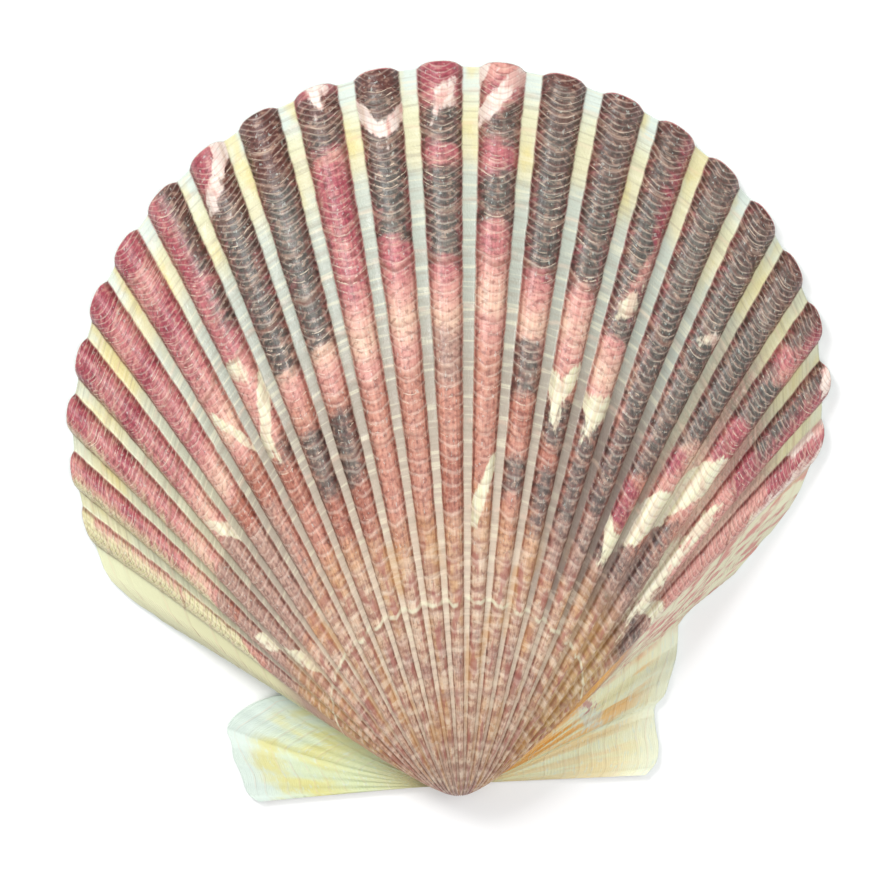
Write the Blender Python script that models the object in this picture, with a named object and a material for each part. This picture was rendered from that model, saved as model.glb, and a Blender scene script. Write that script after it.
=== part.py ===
"""One valve of a scallop shell, outside up, resting on its rim and its hinge line.

The shell is built the way it grew. Its margin, scaled down a little and turned a little about
the hinge line at every step, sweeps the whole outside of the valve from the rim to the beak.
Frame: X along the hinge line, Y from the beak to the far margin, Z up from the resting plane.
"""
import bpy
import bmesh
import math
import numpy as np
from mathutils import Vector

MM = 0.001

# Growth: how fast the shell shrinks toward the beak for each radian turned about the hinge line
GROWTH_RATE = 1.70
SMALL_TURN = 0.01

# Radial ribs, fanned out from the beak: how many degrees the middle one and the outermost ones take,
# where the middle of the fan points, and how far its ends lean to the left
RIBS = 22
WIDEST_RIB = 5.1
NARROWEST_RIB = 4.2
FAN_MIDDLE = 90.1
FAN_LEAN = 0.35
RIB_HEIGHT = 1.25
RIB_TAPER = 0.85
RIB_LIFT = 0.25
FAINT_SIDE_RIBS = (0.55, 0.85)
LONG_RIBS = {20: 0.55, 21: 0.30}
RIB_FACETS = ((0.15, 0.0), (0.26, 0.72), (0.42, 1.0), (0.58, 1.0), (0.74, 0.72), (0.85, 0.0))
RIB_FACETS_COARSE = ((0.0, 0.0), (0.5, 1.0))
RIB_FACETS_INSIDE = ((0.15, 0.0), (0.5, 1.0), (0.85, 0.0))

# Walls
RIM_THICKNESS = 0.70
RIM_WIDTH = 0.50
WALL_AT_RIM = 0.75
WALL_AT_BEAK = 1.40
EAR_WALL = 0.55
EAR_RISE = 0.30
INNER_RIM_ARCH = 0.90

# Ribs showing on the inside: at the rim, how soon they fade over the turn, and what stays
INNER_RIBS_AT_RIM = 0.62
INNER_RIBS_FADE = 0.05
INNER_RIBS_DEEP = 0.14

# Outline of the disc through the furrow ends, from the left notch round to the right one
DISC_OUTLINE = ((-14.0, 8.8), (-16.4, 10.5), (-20.2, 13.0), (-24.0, 15.5), (-27.2, 18.0), (-29.0, 20.0),
                (-29.7, 22.0), (-30.8, 26.3), (-31.2, 31.2), (-30.7, 36.2), (-27.4, 45.4), (-20.9, 53.5),
                (-11.6, 59.4), (-0.2, 61.95), (10.9, 60.85), (21.15, 56.15), (28.8, 48.5), (33.1, 39.4),
                (33.7, 34.0), (33.4, 28.8), (31.6, 24.0), (29.5, 21.0), (27.3, 18.8), (25.0, 16.5),
                (21.4, 14.0), (19.9, 12.4))
OUTLINE_STEPS = 24
LEFT_CORNER = 143.6
RIGHT_CORNER = 37.5

# Outlines of the two ears, from the end of the hinge line up to the notch
LEFT_EAR = ((-17.4, -0.32), (-18.3, 0.5), (-18.8, 2.3), (-19.3, 3.6), (-19.4, 5.0), (-19.7, 6.1),
            (-19.0, 7.2), (-17.3, 8.2), (-15.5, 8.7))
RIGHT_EAR = ((16.2, -0.35), (17.2, 0.7), (17.5, 2.2), (17.35, 3.6), (17.4, 5.5), (18.3, 6.4),
             (18.9, 7.9), (19.5, 9.5), (19.8, 11.2))
LEFT_EAR_FALL = (0.75, 1.0)
RIGHT_EAR_FALL = (0.90, 2.0)
FLANK_SHARES = (0.0, 0.25, 0.5, 0.72, 0.87, 1.0)
FLANK_SHARES_INSIDE = (0.0, 0.4, 0.8)

# Places in the row of growth lines, counted round the margin
LEFT_FLANK_PLACE = 20
FIRST_RIB_PLACE = 100
RIGHT_FLANK_PLACE = 220
LAST_PLACE = 240

# Growth stages that carry the facets, as a share of the full size
OUTER_STAGES = (1.0, 0.965, 0.92, 0.86, 0.79, 0.71, 0.63, 0.55, 0.47, 0.39, 0.315, 0.245, 0.185, 0.13)
BEAK_STAGES = (0.085, 0.05, 0.028)
INNER_STAGES = (0.93, 0.84, 0.74, 0.64, 0.54, 0.45, 0.37, 0.30, 0.235, 0.18)

# Hinge line and the pit for the inner ligament, on the underside
BAR_LEFT = -16.4
BAR_RIGHT = 15.7
BAR_BACK = 0.12
BAR_FRONT = 1.75
BAR_HEIGHT = 0.50
PLATE_BACK = 0.80
PLATE_FRONT = 3.40
PLATE_HALF_WIDTH_BACK = 1.30
PLATE_HALF_WIDTH_FRONT = 1.95
PLATE_HEIGHT = 1.50
PIT_HALF_WIDTH = 1.15
PIT_APEX = 0.60
PIT_BASE = 3.05
PIT_DEPTH = 0.90
PIT_OPEN_BELOW = -1.0

SHELL_COLOUR = (0.62, 0.30, 0.27, 1.0)
SHELL_ROUGHNESS = 0.42
SHARP_ANGLE = 38.0


def smooth_outline(points, steps):
    """Curve through the points, at `steps` places between each two."""
    pts = [Vector(p) for p in points]
    ends = [2 * pts[0] - pts[1]] + pts + [2 * pts[-1] - pts[-2]]
    curve = []
    for i in range(1, len(ends) - 2):
        before, start, stop, after = ends[i - 1:i + 3]
        for j in range(steps):
            t = j / steps
            curve.append(0.5 * (2 * start + (stop - before) * t
                                + (2 * before - 5 * start + 4 * stop - after) * t ** 2
                                + (3 * start - before - 3 * stop + after) * t ** 3))
    curve.append(pts[-1])
    return np.array(curve)


OUTLINE = smooth_outline(DISC_OUTLINE, OUTLINE_STEPS)
OUTLINE_DIRECTION = np.degrees(np.arctan2(OUTLINE[:, 1], OUTLINE[:, 0]))
CORNER_LEFT_AT = int(np.argmax(OUTLINE_DIRECTION < LEFT_CORNER))
CORNER_RIGHT_AT = int(np.argmax(OUTLINE_DIRECTION < RIGHT_CORNER))


class Column:
    """One growth line from the rim to the beak, starting at (x, y) on the margin."""

    def __init__(self, x, y, disc, rib, place, notch=""):
        self.x = x
        self.y = y
        self.disc = disc
        self.rib = rib
        self.place = place
        self.notch = notch


def disc_margin(direction):
    """Point of the disc margin in this direction from the beak."""
    inner = OUTLINE[CORNER_LEFT_AT:CORNER_RIGHT_AT + 1]
    toward = OUTLINE_DIRECTION[CORNER_LEFT_AT:CORNER_RIGHT_AT + 1]
    x = np.interp(-direction, -toward, inner[:, 0])
    y = np.interp(-direction, -toward, inner[:, 1])
    return float(x), float(y)


def fan_direction(place):
    """Direction from the beak at this place in the fan of ribs; a furrow stands at every whole number."""
    half = RIBS / 2
    off_middle = (place - half) / half
    swing = WIDEST_RIB * off_middle - (WIDEST_RIB - NARROWEST_RIB) * off_middle ** 3 / 3
    return FAN_MIDDLE - half * swing + FAN_LEAN * off_middle ** 2


def rib_strength(number):
    """Height of a rib beside the others: the two outermost on each side are faint."""
    from_side = min(number, RIBS - 1 - number)
    return FAINT_SIDE_RIBS[from_side] if from_side < len(FAINT_SIDE_RIBS) else 1.0


def flank_columns(stretch, shares, side):
    """The steep side of the disc, from the notch (share 0) up to the corner of the disc (share 1)."""
    length = np.concatenate(([0.0], np.cumsum(np.hypot(*np.diff(stretch, axis=0).T))))
    low = math.hypot(*stretch[0])
    high = math.hypot(*stretch[-1])
    columns = []
    for share in shares:
        x = float(np.interp(share * length[-1], length, stretch[:, 0]))
        y = float(np.interp(share * length[-1], length, stretch[:, 1]))
        disc = math.log(math.hypot(x, y) / low) / math.log(high / low)
        place = LEFT_FLANK_PLACE + share if side == "left" else RIGHT_FLANK_PLACE - share
        columns.append(Column(x, y, disc, 0.0, place, "" if share else side))
    return columns


def make_columns(facets, flank_shares):
    """All growth lines, from the left end of the hinge line round to the right end."""
    columns = []
    for i, (x, y) in enumerate(LEFT_EAR):
        columns.append(Column(x, y, 0.0, 0.0, i))
    columns += flank_columns(OUTLINE[:CORNER_LEFT_AT + 1], flank_shares, "left")
    for number in range(RIBS):
        for phase, height in facets:
            x, y = disc_margin(fan_direction(number + phase))
            reach = 1 + LONG_RIBS.get(number, 0.0) * height ** 2 / math.hypot(x, y)
            strength = height * rib_strength(number)
            columns.append(Column(x * reach, y * reach, 1.0, strength, FIRST_RIB_PLACE + number + phase))
    columns += flank_columns(OUTLINE[CORNER_RIGHT_AT:][::-1], flank_shares, "right")[::-1]
    for i, (x, y) in reversed(list(enumerate(RIGHT_EAR))):
        columns.append(Column(x, y, 0.0, 0.0, LAST_PLACE - i))
    return columns


def base_point(column, turn):
    """Point of the outside without its ribs, after turning this far about the hinge line."""
    scale = math.exp(-GROWTH_RATE * turn)
    rate, power = LEFT_EAR_FALL if column.x < 0 else RIGHT_EAR_FALL
    ear_fall = math.exp(-rate * turn ** power)
    ear = (1 - column.disc) ** 2
    along = ear * ear_fall + (1 - ear) * math.cos(turn)
    rise = (EAR_RISE + (1 - EAR_RISE) * column.disc) * math.sin(turn)
    return Vector((scale * column.x, scale * column.y * along, RIM_THICKNESS + scale * column.y * rise))


def outward(columns, index, turn):
    """Direction out of the shell at a growth line; at a notch, out of the flank above it."""
    column = columns[index]
    before = base_point(columns[index if column.notch == "left" else max(index - 1, 0)], turn)
    after = base_point(columns[index if column.notch == "right" else min(index + 1, len(columns) - 1)], turn)
    older = base_point(column, turn + SMALL_TURN)
    younger = base_point(column, max(turn - SMALL_TURN, 0.0))
    inward = older - younger
    return inward.cross(after - before).normalized()


def turn_for(scale):
    return -math.log(scale) / GROWTH_RATE


def outer_point(columns, index, scale):
    turn = turn_for(scale)
    column = columns[index]
    normal = outward(columns, index, turn)
    lift = (normal + Vector((0.0, 0.0, RIB_LIFT * scale))).normalized()
    return base_point(column, turn) + lift * column.rib * RIB_HEIGHT * scale ** RIB_TAPER


def inner_point(columns, index, scale):
    turn = turn_for(scale)
    column = columns[index]
    normal = outward(columns, index, turn)
    wall = WALL_AT_RIM + (WALL_AT_BEAK - WALL_AT_RIM) * (1 - scale)
    into = Vector((0.0, 0.0, EAR_WALL)) * (1 - column.disc) ** 2
    if column.notch:
        into += Vector((normal.x, normal.y, 0.0)) * wall
    elif column.disc > 0.0:
        into += normal * wall
    fading = INNER_RIBS_AT_RIM * math.exp(-turn / INNER_RIBS_FADE)
    corrugation = column.rib * RIB_HEIGHT * (fading + INNER_RIBS_DEEP)
    return base_point(column, turn) - into + Vector((0.0, 0.0, corrugation))


def rim_inset(columns, index, width):
    """Margin point moved into the shell, square to the margin."""
    before = columns[max(index - 1, 0)]
    after = columns[min(index + 1, len(columns) - 1)]
    column = columns[index]
    along = Vector((after.x - before.x, after.y - before.y)).normalized()
    into = Vector((along.y, -along.x)) * width
    if column.notch or index in (0, len(columns) - 1):
        into = Vector((-math.copysign(width, column.x), 0.0))
    return Vector((column.x + into.x, column.y + into.y))


def stitch(bm, first, second):
    """Triangles between two rows of (place, vertex), taking whichever row comes to its next place first."""
    i = j = 0
    while i < len(first) - 1 or j < len(second) - 1:
        step_first = first[i + 1][0] if i < len(first) - 1 else math.inf
        step_second = second[j + 1][0] if j < len(second) - 1 else math.inf
        if step_first <= step_second:
            bm.faces.new((first[i][1], first[i + 1][1], second[j][1]))
            i += 1
        else:
            bm.faces.new((first[i][1], second[j + 1][1], second[j][1]))
            j += 1


def close_umbo(bm, columns, last_row):
    """End of the hollow under the beak: a sloping wall, and the floor between it and the hinge line."""
    left, right = [i for i, column in enumerate(columns) if column.notch]
    arch = last_row[left:right + 1]
    middle = bm.verts.new((arch[0].co + arch[-1].co + arch[len(arch) // 2].co) / 3)
    for vert, following in zip(arch, arch[1:] + arch[:1]):
        bm.faces.new((vert, following, middle))
    bm.faces.new(last_row[:left + 1] + last_row[right:])


def row(bm, columns, point_at):
    return [(column.place, bm.verts.new(point_at(i) * MM)) for i, column in enumerate(columns)]


def grow_valve():
    """The closed shell wall: outside, rim, inside, and the faces along the hinge line."""
    bm = bmesh.new()
    fine = make_columns(RIB_FACETS, FLANK_SHARES)
    coarse = make_columns(RIB_FACETS_COARSE, FLANK_SHARES)
    inside = make_columns(RIB_FACETS_INSIDE, FLANK_SHARES_INSIDE)

    outer = [row(bm, fine, lambda i, s=s: outer_point(fine, i, s)) for s in OUTER_STAGES]
    outer += [row(bm, coarse, lambda i, s=s: outer_point(coarse, i, s)) for s in BEAK_STAGES]

    def lower_edge(i):
        top = outer_point(fine, i, 1.0)
        return Vector((top.x, top.y, top.z - RIM_THICKNESS))

    def rim_inside(i):
        spot = rim_inset(inside, i, RIM_WIDTH)
        arch = outer_point(inside, i, 1.0).z - RIM_THICKNESS
        return Vector((spot.x, spot.y, INNER_RIM_ARCH * arch))

    edge = row(bm, fine, lower_edge)
    inner = [row(bm, inside, rim_inside)]
    inner += [row(bm, inside, lambda i, s=s: inner_point(inside, i, s)) for s in INNER_STAGES]

    for lower, upper in zip(outer, outer[1:]):
        stitch(bm, lower, upper)
    stitch(bm, edge, outer[0])
    stitch(bm, inner[0], edge)
    for lower, upper in zip(inner, inner[1:]):
        stitch(bm, upper, lower)

    bm.faces.new([vert for place, vert in outer[-1]])
    close_umbo(bm, inside, [vert for place, vert in inner[-1]])
    upper_line = [r[0][1] for r in outer] + [r[-1][1] for r in reversed(outer)]
    lower_rows = [edge] + inner
    lower_line = [r[0][1] for r in lower_rows] + [r[-1][1] for r in reversed(lower_rows)]
    stitch(bm, [(vert.co.x, vert) for vert in upper_line], [(vert.co.x, vert) for vert in lower_line])

    bmesh.ops.triangulate(bm, faces=bm.faces[:])
    bmesh.ops.recalc_face_normals(bm, faces=bm.faces[:])
    mesh = bpy.data.meshes.new("valve")
    bm.to_mesh(mesh)
    bm.free()
    return mesh


def slab(name, plan, bottom, top):
    """A flat piece of this plan, from bottom to top."""
    bm = bmesh.new()
    verts = [bm.verts.new((x * MM, y * MM, bottom * MM)) for x, y in plan]
    face = bm.faces.new(verts)
    raised = bmesh.ops.extrude_face_region(bm, geom=[face])
    moved = [v for v in raised["geom"] if isinstance(v, bmesh.types.BMVert)]
    bmesh.ops.translate(bm, verts=moved, vec=(0.0, 0.0, (top - bottom) * MM))
    bmesh.ops.recalc_face_normals(bm, faces=bm.faces[:])
    mesh = bpy.data.meshes.new(name)
    bm.to_mesh(mesh)
    bm.free()
    guide = bpy.data.objects.new(name, mesh)
    guide.hide_render = True
    guide.display_type = "WIRE"
    bpy.context.scene.collection.objects.link(guide)
    return guide


def join(target, guide, operation):
    step = target.modifiers.new(guide.name, "BOOLEAN")
    step.operation = operation
    step.object = guide


def shell_material():
    material = bpy.data.materials.new("shell")
    material.use_nodes = True
    shader = material.node_tree.nodes["Principled BSDF"]
    shader.inputs["Base Color"].default_value = SHELL_COLOUR
    shader.inputs["Roughness"].default_value = SHELL_ROUGHNESS
    shader.inputs["Metallic"].default_value = 0.0
    return material


for existing in list(bpy.data.objects):
    bpy.data.objects.remove(existing)

mesh = grow_valve()
mesh.materials.append(shell_material())
mesh.shade_smooth()
mesh.set_sharp_from_angle(angle=math.radians(SHARP_ANGLE))
valve = bpy.data.objects.new("valve", mesh)
bpy.context.scene.collection.objects.link(valve)

hinge_bar = slab("hinge_bar_guide",
                 ((BAR_LEFT, BAR_BACK), (BAR_RIGHT, BAR_BACK), (BAR_RIGHT, BAR_FRONT), (BAR_LEFT, BAR_FRONT)),
                 0.0, BAR_HEIGHT)
plate = slab("hinge_plate_guide",
             ((-PLATE_HALF_WIDTH_BACK, PLATE_BACK), (PLATE_HALF_WIDTH_BACK, PLATE_BACK),
              (PLATE_HALF_WIDTH_FRONT, PLATE_FRONT), (-PLATE_HALF_WIDTH_FRONT, PLATE_FRONT)),
             0.0, PLATE_HEIGHT)
pit = slab("ligament_pit_guide",
           ((0.0, PIT_APEX), (PIT_HALF_WIDTH, PIT_BASE), (-PIT_HALF_WIDTH, PIT_BASE)),
           PIT_OPEN_BELOW, PIT_DEPTH)
join(valve, hinge_bar, "UNION")
join(valve, plate, "UNION")
join(valve, pit, "DIFFERENCE")

# The middle of the resting plane goes to the origin
places = np.array([vert.co for vert in mesh.vertices])
lowest = places.min(axis=0)
highest = places.max(axis=0)
for piece in (valve, hinge_bar, plate, pit):
    piece.location = (-(lowest[0] + highest[0]) / 2, -(lowest[1] + highest[1]) / 2, -lowest[2])
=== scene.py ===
"""A scallop valve lying outside up on a pale floor, seen from straight above."""
import math

import bpy
import bmesh
import numpy as np
from mathutils import Euler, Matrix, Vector


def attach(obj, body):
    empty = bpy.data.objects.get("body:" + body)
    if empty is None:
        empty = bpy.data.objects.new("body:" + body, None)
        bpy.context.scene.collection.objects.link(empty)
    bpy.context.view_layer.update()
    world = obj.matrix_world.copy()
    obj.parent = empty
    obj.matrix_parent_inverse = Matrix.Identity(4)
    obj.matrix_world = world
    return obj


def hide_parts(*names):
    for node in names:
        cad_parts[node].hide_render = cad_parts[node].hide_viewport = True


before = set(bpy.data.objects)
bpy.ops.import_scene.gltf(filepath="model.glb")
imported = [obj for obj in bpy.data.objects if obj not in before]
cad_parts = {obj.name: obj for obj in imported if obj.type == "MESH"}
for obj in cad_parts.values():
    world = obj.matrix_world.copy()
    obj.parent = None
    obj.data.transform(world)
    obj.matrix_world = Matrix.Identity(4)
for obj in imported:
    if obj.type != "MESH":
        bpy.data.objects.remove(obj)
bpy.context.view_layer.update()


# The shell wall
# One half of a scallop, calcite laid down layer on layer along its margin for a few years.
# Every growth stage has the same form, a little larger and turned a little further about the
# hinge, so the wall is that margin swept back to the beak. It grew as one piece, ears included.

MM = 0.001
BEAK_PLACE = Vector((-1.47, -30.80, 0.0))
GROWTH_RATE = 1.70
RIBS = 22
WIDEST_RIB = 5.1
NARROWEST_RIB = 4.2
FAN_MIDDLE = 90.1
FAN_LEAN = 0.35
DISC_OUTLINE = ((-14.0, 8.8), (-16.4, 10.5), (-20.2, 13.0), (-24.0, 15.5), (-27.2, 18.0), (-29.0, 20.0),
                (-29.7, 22.0), (-30.8, 26.3), (-31.2, 31.2), (-30.7, 36.2), (-27.4, 45.4), (-20.9, 53.5),
                (-11.6, 59.4), (-0.2, 61.95), (10.9, 60.85), (21.15, 56.15), (28.8, 48.5), (33.1, 39.4),
                (33.7, 34.0), (33.4, 28.8), (31.6, 24.0), (29.5, 21.0), (27.3, 18.8), (25.0, 16.5),
                (21.4, 14.0), (19.9, 12.4))
LEFT_CORNER = 143.6
RIGHT_CORNER = 37.5
LEFT_EAR = ((-17.4, -0.32), (-18.3, 0.5), (-18.8, 2.3), (-19.3, 3.6), (-19.4, 5.0), (-19.7, 6.1),
            (-19.0, 7.2), (-17.3, 8.2), (-15.5, 8.7))
RIGHT_EAR = ((16.2, -0.35), (17.2, 0.7), (17.5, 2.2), (17.35, 3.6), (17.4, 5.5), (18.3, 6.4),
             (18.9, 7.9), (19.5, 9.5), (19.8, 11.2))
LEFT_EAR_FALL = (0.75, 1.0)
RIGHT_EAR_FALL = (0.90, 2.0)
EAR_RISE = 0.30
RIM_THICKNESS = 0.70
WALL_AT_RIM = 0.75
WALL_AT_BEAK = 1.40
EAR_WALL = 0.55
RIB_HEIGHT = 1.25
RIB_TAPER = 0.85
RIB_LIFT = 0.25
FAINT_SIDE_RIBS = (0.55, 0.85)
LONG_RIBS = {20: 0.55, 21: 0.30}
LONG_RIB_TOP = 0.35
INNER_RIBS_AT_RIM = 0.62
INNER_RIBS_FADE = 0.05
INNER_RIBS_DEEP = 0.14
INNER_RIBS_START = 0.2
LOWEST_INSIDE = 0.03

# Where the lines from beak to margin stand across each rib, closer together on its steep sides
ACROSS_RIB = (0.0, 0.09, 0.15, 0.20, 0.26, 0.34, 0.44, 0.56, 0.66, 0.74, 0.80, 0.85, 0.91)
EAR_LINES = 28
FLANK_LINES = 18
OUTSIDE_STAGES = 196
INSIDE_STAGES = 26
FIRST_STAGE = 0.9972
BEAK_STAGE = 0.026
FIRST_INSIDE_STAGE = 0.955
INNERMOST_STAGE = 0.18
SMALL_TURN = 0.01
DISC_STEPS = 24
EAR_STEPS = 8
# The rim in section: how far in from the edge, how far below the top, and how much of the ribs it keeps
RIM_SECTION = ((0.03, 0.10, 1.0), (0.0, 0.26, 1.0), (0.0, 0.48, 1.0), (0.05, 0.62, 1.0), (0.16, 0.70, 1.0),
               (0.50, 0.70, 0.9))

# Places along the margin: both ears, both steep sides, and one unit for each rib between them
LEFT_EAR_PLACE = -4.0
LEFT_NOTCH_PLACE = -2.0
RIGHT_NOTCH_PLACE = RIBS + 2.0
RIGHT_EAR_PLACE = RIBS + 4.0


def smooth_outline(points, steps):
    """Curve through the points, at `steps` places between each two."""
    points = np.array(points, float)
    ends = np.vstack((2 * points[0] - points[1], points, 2 * points[-1] - points[-2]))
    t = (np.arange(steps) / steps)[:, None]
    curve = []
    for before, start, stop, after in zip(ends, ends[1:], ends[2:], ends[3:]):
        curve.append(0.5 * (2 * start + (stop - before) * t
                            + (2 * before - 5 * start + 4 * stop - after) * t ** 2
                            + (3 * start - before - 3 * stop + after) * t ** 3))
    return np.vstack(curve + [points[-1:]])


def along(curve, shares):
    """Points of a curve at these shares of its length."""
    length = np.concatenate(([0.0], np.cumsum(np.hypot(*np.diff(curve, axis=0).T))))
    return np.stack([np.interp(np.array(shares) * length[-1], length, curve[:, i]) for i in (0, 1)], 1)


outline = smooth_outline(DISC_OUTLINE, DISC_STEPS)
outline_direction = np.degrees(np.arctan2(outline[:, 1], outline[:, 0]))
left_corner = int(np.argmax(outline_direction < LEFT_CORNER))
right_corner = int(np.argmax(outline_direction < RIGHT_CORNER))
ear_shares = np.arange(EAR_LINES) / EAR_LINES
flank_shares = np.arange(FLANK_LINES) / FLANK_LINES


def ear_edge(corners):
    """Points along the edge of an ear, from the hinge line to its notch."""
    return along(smooth_outline(corners, EAR_STEPS), ear_shares / ear_shares[-1])


def flank(stretch):
    """Points of a steep side from its notch up, and how far each has left the ear behind."""
    start = math.hypot(*stretch[0])
    points = along(stretch, flank_shares)
    rise = np.log(np.hypot(points[:, 0], points[:, 1]) / start)
    return points, np.clip(rise / math.log(math.hypot(*stretch[-1]) / start), 0.0, 1.0)


# The whole edge from ear to ear: x, y, place, how far it has left the ear, and how strong its rib is
edge = []


def lay_edge(points, places, off_ear):
    """A stretch of the edge that has no ribs."""
    edge.extend((x, y, place, share, 0.0) for (x, y), place, share in zip(points, places, off_ear))


lay_edge(ear_edge(LEFT_EAR), LEFT_EAR_PLACE + 2.0 * ear_shares, np.zeros(EAR_LINES))
side, rise = flank(outline[:left_corner + 1])
lay_edge(side, LEFT_NOTCH_PLACE + 2.0 * flank_shares, rise)
ribbed = outline[left_corner:right_corner + 1]
ribbed_direction = outline_direction[left_corner:right_corner + 1]
for number in range(RIBS):
    from_side = min(number, RIBS - 1 - number)
    strength = FAINT_SIDE_RIBS[from_side] if from_side < len(FAINT_SIDE_RIBS) else 1.0
    for phase in ACROSS_RIB:
        off_middle = (number + phase - RIBS / 2) / (RIBS / 2)
        swing = WIDEST_RIB * off_middle - (WIDEST_RIB - NARROWEST_RIB) * off_middle ** 3 / 3
        direction = FAN_MIDDLE - RIBS / 2 * swing + FAN_LEAN * off_middle ** 2
        x, y = (np.interp(-direction, -ribbed_direction, ribbed[:, i]) for i in (0, 1))
        top = max(0.0, 1 - (abs(phase - 0.5) / LONG_RIB_TOP) ** 2) ** 2
        longer = 1 + LONG_RIBS.get(number, 0.0) * top / math.hypot(x, y)
        edge.append((x * longer, y * longer, number + phase, 1.0, strength))
side, rise = flank(outline[right_corner:][::-1])
lay_edge(side[::-1], RIGHT_NOTCH_PLACE - 2.0 * flank_shares[::-1], rise[::-1])
lay_edge(ear_edge(RIGHT_EAR)[::-1], RIGHT_EAR_PLACE - 2.0 * ear_shares[::-1], np.zeros(EAR_LINES))

edge = np.array(edge)
margin, place, disc, rib_strength = edge[:, :2], edge[:, 2], edge[:, 3], edge[:, 4]
lines = len(place)
left_notch = EAR_LINES
right_notch = lines - EAR_LINES - 1


def swept(scale):
    """The margin at one growth stage, without its ribs: a row of points in millimetres from the beak."""
    turn = -math.log(scale) / GROWTH_RATE
    left = math.exp(-LEFT_EAR_FALL[0] * turn ** LEFT_EAR_FALL[1])
    right = math.exp(-RIGHT_EAR_FALL[0] * turn ** RIGHT_EAR_FALL[1])
    ear = (1 - disc) ** 2
    forward = ear * np.where(margin[:, 0] < 0, left, right) + (1 - ear) * math.cos(turn)
    rise = (EAR_RISE + (1 - EAR_RISE) * disc) * math.sin(turn)
    return np.stack((scale * margin[:, 0], scale * margin[:, 1] * forward,
                     RIM_THICKNESS + scale * margin[:, 1] * rise), 1)


def outward(scale):
    """Unit directions out of the wall; at a notch, out of the steep side above it."""
    row = swept(scale)
    before = np.vstack((row[:1], row[:-1]))
    after = np.vstack((row[1:], row[-1:]))
    before[left_notch] = row[left_notch]
    after[right_notch] = row[right_notch]
    older = swept(scale * math.exp(-SMALL_TURN * GROWTH_RATE))
    newer = swept(min(scale * math.exp(SMALL_TURN * GROWTH_RATE), 1.0))
    normal = np.cross(older - newer, after - before)
    return normal / np.linalg.norm(normal, axis=1, keepdims=True)


def rim_row(inset, drop):
    """The margin moved in from the edge and down from its top."""
    before = np.vstack((margin[:1], margin[:-1]))
    after = np.vstack((margin[1:], margin[-1:]))
    way = after - before
    way /= np.linalg.norm(way, axis=1, keepdims=True)
    into = np.stack((way[:, 1], -way[:, 0]), 1) * inset
    for line in (0, left_notch, right_notch, lines - 1):
        into[line] = (-math.copysign(inset, margin[line, 0]), 0.0)
    return np.column_stack((margin + into, np.full(lines, RIM_THICKNESS - drop)))


rows = []
for scale in np.linspace(FIRST_STAGE, BEAK_STAGE, OUTSIDE_STAGES):
    up = outward(scale) + np.array((0.0, 0.0, RIB_LIFT * scale))
    up /= np.linalg.norm(up, axis=1, keepdims=True)
    rows.append(dict(points=swept(scale), growth=scale, share=rib_strength, way=up, side=1.0,
                     normal=outward(scale)))
outside_rows = len(rows)
rim_way = rows[0]["way"]
for inset, drop, ribs_left in RIM_SECTION:
    rows.append(dict(points=rim_row(inset, drop), growth=1.0, share=rib_strength * ribs_left, way=rim_way,
                     side=0.5, normal=rim_way * 0.0))
for scale in np.linspace(FIRST_INSIDE_STAGE, INNERMOST_STAGE, INSIDE_STAGES):
    turn = -math.log(scale) / GROWTH_RATE
    out = outward(scale)
    wall = WALL_AT_RIM + (WALL_AT_BEAK - WALL_AT_RIM) * (1 - scale)
    into = np.outer((1 - disc) ** 2, (0.0, 0.0, EAR_WALL)) + out * wall * (disc > 0.0)[:, None]
    for notch in (left_notch, right_notch):
        into[notch] = (out[notch, 0] * wall, out[notch, 1] * wall, EAR_WALL)
    left = INNER_RIBS_AT_RIM * math.exp(-turn / INNER_RIBS_FADE) + INNER_RIBS_DEEP
    left *= min(1.0, (scale - INNERMOST_STAGE) / INNER_RIBS_START)
    straight_up = np.tile((0.0, 0.0, 1.0), (lines, 1))
    under = swept(scale) - into
    under[:, 2] = np.maximum(under[:, 2], LOWEST_INSIDE)
    rows.append(dict(points=under, growth=scale, share=rib_strength * left / scale ** RIB_TAPER,
                     way=straight_up, side=0.0, normal=straight_up * 0.0))

points = (np.vstack([row["points"] for row in rows]) + np.array(BEAK_PLACE)) * MM
faces = []
for r in range(len(rows) - 1):
    if r == outside_rows - 1:
        continue
    for a in range(r * lines, (r + 1) * lines - 1):
        quad = (a, a + 1, a + lines + 1, a + lines)
        faces.append(quad[::-1] if r > outside_rows - 1 else quad)
first_rim = outside_rows * lines
for c in range(lines - 1):
    faces.append((first_rim + c, first_rim + c + 1, c + 1, c))
beak_row = range((outside_rows - 1) * lines, outside_rows * lines)
last_row = list(range((len(rows) - 1) * lines, len(rows) * lines))


def stitch(first, second):
    """Triangles between two rows of point numbers, both in order of x."""
    i = j = 0
    while i < len(first) - 1 or j < len(second) - 1:
        next_first = points[first[i + 1], 0] if i < len(first) - 1 else math.inf
        next_second = points[second[j + 1], 0] if j < len(second) - 1 else math.inf
        if next_first <= next_second:
            faces.append((first[i], first[i + 1], second[j]))
            i += 1
        else:
            faces.append((first[i], second[j + 1], second[j]))
            j += 1


outer_starts = [r * lines for r in range(outside_rows)]
outer_ends = [start + lines - 1 for start in outer_starts]
inner_starts = [r * lines for r in range(outside_rows, len(rows))]
inner_ends = [start + lines - 1 for start in inner_starts]
stitch(outer_starts + outer_ends[::-1], inner_starts + inner_ends[::-1])
faces.append(tuple(beak_row))
arch = last_row[left_notch:right_notch + 1]
middle = len(points)
points = np.vstack((points, (points[arch[0]] + points[arch[-1]] + points[arch[len(arch) // 2]]) / 3))
for start, stop in zip(arch, arch[1:] + arch[:1]):
    faces.append((start, stop, middle))
faces.append(tuple(last_row[:left_notch + 1] + last_row[right_notch:]))

wall = bpy.data.meshes.new("valve_wall")
wall.from_pydata(points.tolist(), [], faces)
building = bmesh.new()
building.from_mesh(wall)
bmesh.ops.recalc_face_normals(building, faces=building.faces[:])
building.to_mesh(wall)
building.free()


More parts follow.
